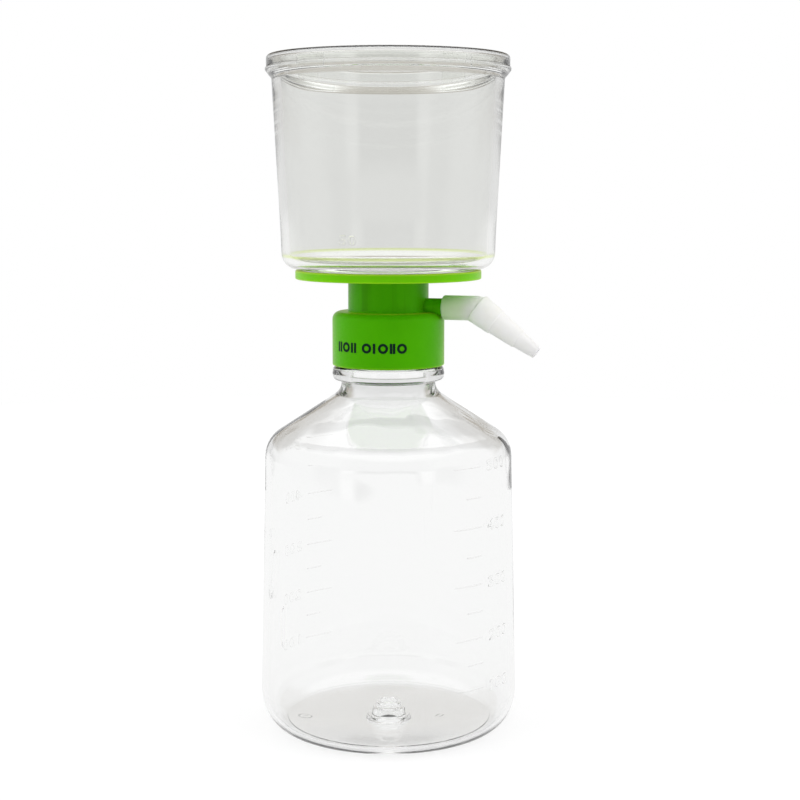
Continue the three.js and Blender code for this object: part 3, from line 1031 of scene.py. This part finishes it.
def pale_floor():
    """A plain white floor that keeps the object's shadow."""
    made, tree, shader = material("pale_floor")
    tree.nodes.remove(shader)
    output = tree.nodes["Material Output"]
    matt = node(tree, "ShaderNodeBsdfDiffuse")
    lift = node(tree, "ShaderNodeEmission", Color=(1, 1, 1, 1))
    rays = node(tree, "ShaderNodeLightPath")
    mirrored = seen_by_glass(tree, rays)
    scattered = blended(tree, mirrored, FLOOR_BOUNCE, FLOOR_MATT_IN_GLASS)
    scattered = blended(tree, rays.outputs["Is Camera Ray"], scattered, FLOOR_MATT)
    tree.links.new(scattered, matt.inputs["Color"])
    glow = blended(tree, mirrored, 0.0, FLOOR_SEEN_IN_GLASS)
    glow = blended(tree, rays.outputs["Is Camera Ray"], glow, FLOOR_SEEN)
    tree.links.new(glow, lift.inputs["Strength"])
    both = node(tree, "ShaderNodeAddShader")
    tree.links.new(matt.outputs[0], both.inputs[0])
    tree.links.new(lift.outputs[0], both.inputs[1])
    tree.links.new(both.outputs[0], output.inputs["Surface"])
    floor = lathe("floor", [(0, 0), (FLOOR_RADIUS, 0)], steps=96)
    floor.location.z = -FLOOR_GAP * MM
    floor.data.materials.append(made)


def camera():
    """The photo's camera: a little above the middle, looking slightly down."""
    a = math.radians(CAMERA_AZIMUTH)
    back = Vector((math.sin(a), -math.cos(a), 0))
    right = Vector((math.cos(a), math.sin(a), 0))
    data = bpy.data.cameras.new("camera")
    data.sensor_width = 36.0
    data.lens = CAMERA_LENS
    data.shift_y = CAMERA_SHIFT
    data.clip_start = 0.02
    pitch = math.radians(CAMERA_PITCH)
    holder = bpy.data.objects.new("camera", data)
    stand = back * CAMERA_DISTANCE + right * CAMERA_SIDE_STEP + Vector((0, 0, CAMERA_HEIGHT))
    holder.location = stand * MM
    aim = -back * math.cos(pitch) - Vector((0, 0, math.sin(pitch)))
    holder.rotation_euler = aim.to_track_quat("-Z", "Y").to_euler()
    bpy.context.scene.collection.objects.link(holder)
    bpy.context.scene.camera = holder


def place(piece, surface, body, replaced):
    """Gives a piece its material and its body, and hides the CAD node that it stands for, if any."""
    piece.data.materials.clear()
    piece.data.materials.append(surface)
    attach(piece, body)
    if replaced:
        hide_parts(replaced)


# ---- the object -------------------------------------------------------------------------
camera()
shoulder = BOTTLE["body_top"]
bottle_tint = (0.995, 0.997, 0.995)
bottle_clear = clear_plastic("bottle_clear", bottle_tint, 1.57, MOULD_WAVES_BOTTLE, flow=[
    (shoulder - 12, grey(0.0)), (shoulder + 2, grey(1.0)),
    (shoulder + 20, grey(0.8)), (shoulder + 26, grey(0.0))])
# painted reflection: the green collar's plate edge, painted as a green line round the funnel's foot
funnel_tint, painted_green_reflection = (0.96, 0.965, 0.95), (0.82, 0.93, 0.42)
line = COLLAR["plate_high"] + GAP + FUNNEL["foot_corner"] - 0.9
funnel_clear = clear_plastic("funnel_clear", funnel_tint, 1.59, MOULD_WAVES_FUNNEL, painted_reflection=[
    (line - 0.5, funnel_tint), (line - 0.3, painted_green_reflection),
    (line + 0.3, painted_green_reflection), (line + 0.5, funnel_tint)])
green = green_plastic()
milky = milky_plastic()

place(bottle_shell(), bottle_clear, "bottle", "receiver_bottle")
place(funnel_cup(), funnel_clear, "upper", "funnel")
place(lid_cover(), funnel_clear, "lid", "lid")
place(collar_body(), green, "upper", "filter_collar")
place(filter_membrane(), membrane_white(), "upper", "filter_membrane")
place(seal_washer(), washer_white(), "seal", "seal_washer")
place(hose_adapter(), milky, "adapter", "hose_adapter")
place(scale_marks(), bottle_clear, "bottle", None)
place(floor_marks(), bottle_clear, "bottle", None)
place(flow_marks(), bottle_clear, "bottle", None)
place(funnel_figure(), funnel_clear, "upper", None)
place(rim_pads(), funnel_clear, "upper", None)
place(collar_print(), print_ink(), "upper", None)

studio()
soft_sun("key_left", CAMERA_AZIMUTH - SUN_SIDE)
soft_sun("fill_right", CAMERA_AZIMUTH + SUN_SIDE)
pale_floor()

scene = bpy.context.scene
scene.view_settings.view_transform = "Standard"
scene.cycles.max_bounces = 24
scene.cycles.transmission_bounces = 24
scene.cycles.glossy_bounces = 16
